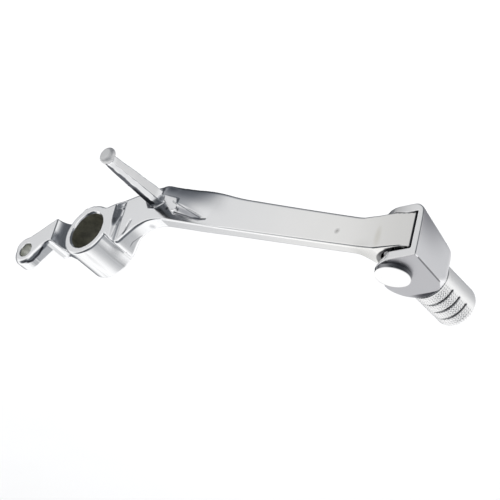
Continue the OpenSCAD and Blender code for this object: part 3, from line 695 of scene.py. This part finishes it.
LEVER_STROKES = [
    # Painted shade at the foot of the leaf and along the neck's wrinkle, a painted dark crescent under the eye
    (0.55, PAINTED_SHADE, 0.9, [(49.4, 0.25, 1.2), (56.5, 0.2, 4.4), (61.8, 0.15, 6.9), (66.7, 0.1, 8.5),
                       (69.4, 0.05, 8.9)]),
    (0.45, (0.12, 0.125, 0.14), 0.8, [(25.4, -0.5, 0.5), (23.5, -0.5, 6.9)]),
    (0.6, PAINTED_SHADE, 0.92, [(-33.0, -1.5, 9.6), (-31.3, -2.2, 8.8), (-28.7, -2.2, 6.1), (-26.3, -1.1, 3.6)]),
    # Painted shade at the foot of the finger and on the face of the leaf
    (0.8, PAINTED_SHADE, 0.94, [(32.2, 0.0, -7.8), (34.3, 0.0, -4.4), (37.0, 0.0, -3.6)]),
    (1.2, PAINTED_SHADE, 0.94, [(36.2, 0.0, -5.0), (34.3, 0.0, -5.7)]),
    (1.6, (0.22, 0.23, 0.26), 0.7, [(53.5, 1.4, 1.6), (60, 0.9, 5.0), (65.5, 0.4, 7.9)]),
    # Painted shade along the edges of the groove, the lower edge of the neck and the line under it
    (0.55, (0.45, 0.46, 0.48), 0.7, [(17.4, -0.2, 0.6), (17.1, -0.2, 6.6)]),
    (0.45, (0.5, 0.5, 0.52), 0.6, [(20.2, 0.0, -0.8), (20.7, -0.2, 7.8)]),
    (0.6, PAINTED_SHADE, 0.9, [(19.7, -0.6, 9.1), (22.0, -0.6, 7.8), (25.1, -0.4, 4.8)]),
    (0.3, (0.3, 0.3, 0.31), 0.7, [(20.6, -7.8, 10.7), (24.9, -5.6, 7.9), (29.0, -6.1, 4.9)])]
TOE_STROKES = [
    # Painted dark line along the crease at the top of the front, painted highlight along the edge of the rim
    (0.36, (0.10, 0.10, 0.11), 0.85, [(175.85, -2.5, 45.22), (175.0, -19.5, 45.2)]),
    (0.5, (1.0, 1.0, 1.0), 1.0, [(176, -0.4, 24), (176, -0.4, 45)])]

cast = metal("polished_casting", (0.985, 0.985, 0.985), (0.935, 0.94, 0.94), (0.12, 0.20),
             extra=lever_tint_and_painted_shade, marks=LEVER_MARKS, strokes=LEVER_STROKES)
toe_metal = metal("satin_toe", (0.97, 0.97, 0.985), (0.93, 0.93, 0.95), (0.32, 0.40),
                  extra=toe_painted_light, strokes=TOE_STROKES)
knurl_metal = metal("knurled_tread", (1.0, 1.0, 1.0), (0.95, 0.95, 0.95), (0.34, 0.44),
                    bump=0.1, extra=tread_painted_shade)
satin = metal("satin_knob", (0.99, 0.99, 0.99), (0.94, 0.94, 0.94), (0.62, 0.70), bump=0.1)
chrome = metal("polished_pin", (0.96, 0.96, 0.96), (0.93, 0.93, 0.93), (0.05, 0.08),
               bump=0.005, extra=pin_painted_reflection)
steel = metal("dark_steel", (0.42, 0.42, 0.43), (0.30, 0.30, 0.31), (0.28, 0.40), bump=0.05)
wire = metal("spring_wire", (0.36, 0.36, 0.37), (0.25, 0.25, 0.26), (0.25, 0.35), bump=0.05)
bore_mat = raw_bore()
eye_mat = metal("drilled_eye", (0.74, 0.75, 0.70), (0.50, 0.51, 0.47), (0.30, 0.42),
                grain=1500.0, bump=0.15)

# Pieces
lever_obj = surface("lever_casting", lever, (-42.8, -20, -14.6), (172.9, 33.6, 41.7), LEVER_GRID)
mesh = lever_obj.data
for mat in (cast, bore_mat, eye_mat, satin):
    mesh.materials.append(mat)
centre = np.zeros(len(mesh.polygons) * 3, np.float32)
mesh.polygons.foreach_get("center", centre)
cx, cy, cz = centre.reshape(-1, 3).T / MM
in_bore = (np.hypot(cx, cz) < BORE_R + 0.12) & (cy < -0.7) & (cy > 0.7 - TUBE_L)
in_eye = np.hypot(cx - EYE_X, cz - EYE_Z) < EYE_R + 0.1
from_finger = np.hypot(cx - FINGER_X, cz - FINGER_Z)
on_knob = (cy > 28.6) & (from_finger < 4.5) & ((cy > 30.2) | (from_finger > 3.2))
mesh.polygons.foreach_set("material_index", (in_bore * 1 + in_eye * 2 + on_knob * 3).astype(np.int32))
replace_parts(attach(lever_obj, "lever"), "lever")

block_obj = surface("toe_block_casting", toe_block, (153.2, -26.6, 22.7), (176.2, -0.2, 45.5), BLOCK_GRID)
block_obj.data.materials.append(toe_metal)
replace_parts(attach(block_obj, "toe"), "toe_block")


def tread(r, h, a):
    """Depth of the grooves and the knurl on the peg's upper side."""
    along = PEG_L - h
    top = np.clip((np.sin(a) - 0.36) / 0.05, 0, 1)
    depth = 0.75 - 0.45 * np.clip((a - 1.35) / 0.5, 0, 1)
    groove = np.zeros_like(r)
    for k in range(TREADS):
        groove = np.maximum(groove, depth * np.clip(1.7 - np.abs(along - TREAD_Y - TREAD_PITCH * k) / 0.3, 0, 1))
    u, v = a * PEG_R / 0.66, h / 0.66
    knurl = 0.12 * (2 - np.abs(np.sin(math.pi * (u + v) / 2)) ** 0.7 - np.abs(np.sin(math.pi * (u - v) / 2)) ** 0.7)
    body = np.clip((r - PEG_R + 0.25) / 0.2, 0, 1) * np.clip((h - 0.6) / 0.4, 0, 1)
    return (np.maximum(groove, knurl * np.clip((along - 2.6) / 0.8, 0, 1)) * top) * body


PEG_EDGE, PEG_BORE_R, PEG_SINK_R, PEG_SINK = 2.9, 3.1, 5.3, 5.6
peg_profile = [(PEG_BORE_R, 0.02), (PEG_R - 0.5, 0.02), (PEG_R, 0.5)]
peg_profile += [(PEG_R - PEG_EDGE * (1 - math.cos(a)), PEG_L - PEG_EDGE * (1 - math.sin(a)))
                for a in np.radians(np.arange(0, 91, 7.5))]
peg_profile += [(PEG_SINK_R, PEG_L), (PEG_SINK_R, PEG_L - PEG_SINK), (PEG_BORE_R, PEG_L - PEG_SINK), (PEG_BORE_R, 0.02)]
peg = turned("toe_peg_tread", peg_profile, (PEG_X, PEG_Y, PEG_Z), "-Y", 360, 0.2, tread)
peg.data.materials.append(knurl_metal)
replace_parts(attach(peg, "toe"), "toe_peg")

# The pin's shank with the clip's groove, its head and the low dome, which tilts more near its rim
shank = [(0, 19.6), (2.6, 19.6), (3, 20), (3, 21), (2.3, 21), (2.3, 21.8), (3, 21.8), (3, BLOCK_HI),
         (6.6, BLOCK_HI), (6.75, BLOCK_HI + 0.1)]
dome = [(0.0, 47.75)]
for r in np.arange(0.2, 6.8, 0.15):
    tilt = math.radians(1.3 * r if r < 6.0 else 7.8 + 22 * (r - 6.0))
    dome.insert(0, (r, dome[0][1] - math.tan(tilt) * (r - dome[0][0])))
pin = turned("hinge_pin_head", rounded(shank, 0.05) + dome, (PIN_X, PIN_Y, 0), "+Z")
pin.data.materials.append(chrome)
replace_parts(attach(pin, "toe"), "hinge_pin")

for node, mat in (("peg_screw", steel), ("pin_washer", steel), ("pin_clip", steel), ("return_spring", wire)):
    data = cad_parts[node].data
    data.materials.clear()
    data.materials.append(mat)
    for f in data.polygons:
        f.use_smooth = True
    data.set_sharp_from_angle(angle=math.radians(35))

# Floor, studio light and camera, in metres
mesh = bpy.data.meshes.new("floor")
mesh.from_pydata([(-4, -4, -0.3), (4, -4, -0.3), (4, 4, -0.3), (-4, 4, -0.3)], [], [(0, 1, 2, 3)])
floor = place("floor", mesh)
pale = bpy.data.materials.new("pale_floor")
t = Tree(pale)
tone = t.noise(t.add("ShaderNodeTexCoord").outputs["Object"], 6.0)
tone = t.ramp(tone, [(0.3, (0.93, 0.93, 0.93)), (0.7, (0.95, 0.95, 0.95))])
matt = t.add("ShaderNodeBsdfPrincipled", {"Base Color": tone, "Roughness": 0.9, "Specular IOR Level": 0.1})
t.add("ShaderNodeOutputMaterial", {0: matt.outputs[0]})
mesh.materials.append(pale)
floor.visible_glossy = False

CAMERA_PLACE = (0.4661, 0.3684, 0.3359)
CAMERA_AXES = ((0.7777, -0.5850, -0.2301), (0.1567, 0.5349, -0.8303), (0.6088, 0.6096, 0.5077))
STUDIO = 1.06
# Dark zones of the studio: direction along the camera's right, up and back, inner and outer angle, amount
ZONES = (((-0.22, 0.25, -0.94), 12, 58, 0.93), ((0.25, 0.95, 0.10), 30, 60, 0.90), ((-0.93, -0.20, 0.25), 15, 38, 0.92),
         ((0.82, 0.28, -0.50), 8, 34, 0.50), ((0.05, -0.50, 0.86), 28, 66, 0.86), ((-0.64, 0.74, -0.18), 5, 36, 0.25),
         ((-0.72, -0.45, 0.53), 10, 26, 0.7))

world = bpy.data.worlds.new("studio")
bpy.context.scene.world = world
t = Tree(world)
way = t.add("ShaderNodeTexCoord").outputs["Generated"]
light = STUDIO
for zone, inner, outer, amount in ZONES:
    d = sum((k * Vector(axis) for k, axis in zip(zone, CAMERA_AXES)), Vector((0, 0, 0))).normalized()
    near = t.vector("DOT_PRODUCT", way, tuple(d))
    dark = t.between(near, math.cos(math.radians(outer)), math.cos(math.radians(inner)), amount)
    light = t.math("MULTIPLY", light, t.math("SUBTRACT", 1.0, dark))
seen = t.add("ShaderNodeLightPath").outputs["Is Camera Ray"]
strength = t.add("ShaderNodeMix", {0: seen, 2: light, 3: 1.0}, data_type="FLOAT").outputs[0]
tone = t.ramp(strength, [(0.0, (0.80, 0.88, 1.0)), (0.6, (0.985, 0.99, 1.0)), (1.0, (1, 1, 1))])
sky = t.add("ShaderNodeBackground", {"Color": tone, "Strength": strength})
t.add("ShaderNodeOutputWorld", {0: sky.outputs[0]})

lamp = bpy.data.lights.new("top_box", "AREA")
lamp.shape, lamp.size, lamp.energy = "SQUARE", 3.0, 60
top_box = place("top_box", lamp)
top_box.location = (0.0, -0.1, 2.2)
top_box.rotation_mode = "QUATERNION"
top_box.rotation_quaternion = (Vector((0.06, 0, 0)) - top_box.location).to_track_quat("-Z", "Y")
top_box.visible_glossy = False

cam = bpy.data.cameras.new("camera")
cam.lens, cam.sensor_width, cam.clip_start, cam.clip_end = 114.78, 36, 0.01, 50
camera = place("camera", cam)
camera.matrix_world = Matrix([*zip(*CAMERA_AXES, CAMERA_PLACE), (0, 0, 0, 1)])
bpy.context.scene.camera = camera
bpy.context.scene.view_settings.view_transform = "Standard"
